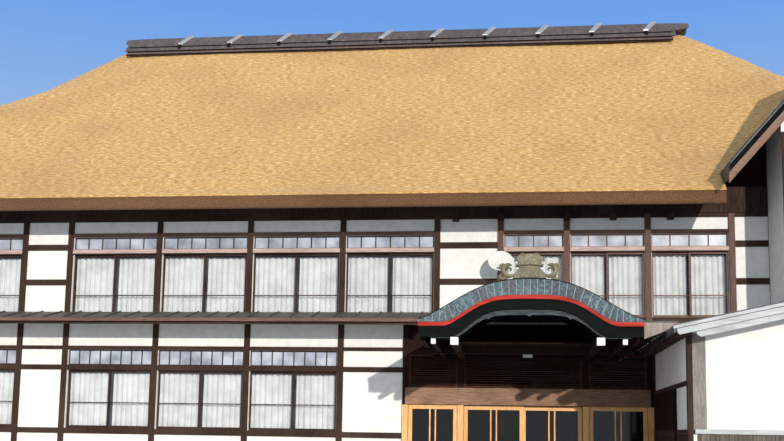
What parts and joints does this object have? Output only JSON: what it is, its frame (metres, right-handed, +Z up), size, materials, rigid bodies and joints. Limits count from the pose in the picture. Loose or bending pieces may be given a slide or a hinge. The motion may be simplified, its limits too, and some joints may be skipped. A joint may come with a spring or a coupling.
{
  "type": "thatched minka farmhouse",
  "caption": "Two-storey timber farmhouse with a hipped thatched roof, a curved-gable porch over sliding entrance doors, a low side room and a tall gabled bay",
  "frame": {"origin": "underside of the entrance floor at ground level, in the plane of the front wall's posts, on the centre line of the porch", "axes": "+X along the front to the viewer's right, +Y into the house from the visitor's side, +Z up"},
  "size_m": [30, 17.69, 12.7132],
  "materials": {
    "stone": "rough-cut grey stone",
    "boards": "worn floor boards",
    "plaster": "white lime plaster, matt",
    "timber": "dark-brown stained timber",
    "window_glass": "clear window glass",
    "thatch": "thick golden straw thatch, trimmed",
    "ridge_metal": "brown-grey sheet metal ridge cap",
    "sheet_metal": "dark painted sheet roofing",
    "door_wood": "orange-brown varnished wood",
    "slats": "narrow brown slats",
    "copper": "patinated copper sheet shingles",
    "red_paint": "red painted trim",
    "black_paint": "black painted board",
    "grey_paint": "weathered grey painted board",
    "carved_tile": "olive-grey moulded ridge-end tile",
    "white_paint": "white painted",
    "barge_wood": "brown bargeboard"
  },
  "bodies": {
    "house": {"house_foundation": "stone", "ground_floor": "boards", "upper_floor": "boards", "upper_front_wall": "plaster", "lower_front_wall": "plaster", "front_timber_frame": "timber", "upper_front_glass": "window_glass", "lower_front_glass": "window_glass", "back_wall": "plaster", "back_timber_frame": "timber", "left_end_wall": "plaster", "left_timber_frame": "timber", "right_end_wall": "plaster", "right_timber_frame": "timber", "lower_back_glass": "window_glass", "lower_left_glass": "window_glass", "lower_right_glass": "window_glass", "upper_back_glass": "window_glass", "upper_left_glass": "window_glass", "upper_right_glass": "window_glass", "eaves_beam": "timber", "thatched_roof": "thatch", "ridge_cap": "ridge_metal", "front_wall_by_side_room": "plaster", "front_wall_far_right": "plaster", "far_right_timber_frame": "timber", "lean_to_roof": "sheet_metal", "lean_to_rafters": "timber", "entrance_floor": "stone", "entrance_frame": "door_wood", "entrance_header_wall": "plaster", "left_side_light": "door_wood", "right_side_light": "door_wood", "left_transom": "slats", "middle_transom": "slats", "right_transom": "slats", "porch_roof": "copper", "porch_red_strip": "red_paint", "porch_bargeboard": "black_paint", "porch_inner_board": "grey_paint", "porch_beams": "timber", "porch_ridge_ornament": "carved_tile", "porch_ceiling": "boards", "porch_lantern": "white_paint", "dish_aerial": "white_paint", "low_roof": "sheet_metal", "low_bargeboard": "grey_paint", "low_front_wall": "plaster", "low_left_wall": "plaster", "low_right_wall": "plaster", "low_timber_frame": "timber", "tall_front_wall": "plaster", "tall_left_wall": "plaster", "tall_right_wall": "plaster", "tall_timber_frame": "timber", "tall_front_glass": "window_glass", "tall_roof": "sheet_metal", "tall_bargeboard": "barge_wood"},
    "left_door": {"left_door": "door_wood"},
    "right_door": {"right_door": "door_wood"}
  },
  "joints": [
    {"name": "left_door_slide", "type": "slide", "parent": "house", "child": "left_door", "axis": [-1, 0, 0], "range_m": [0, 1.15]},
    {"name": "right_door_slide", "type": "slide", "parent": "house", "child": "right_door", "axis": [1, 0, 0], "range_m": [0, 1.15]}
  ]
}
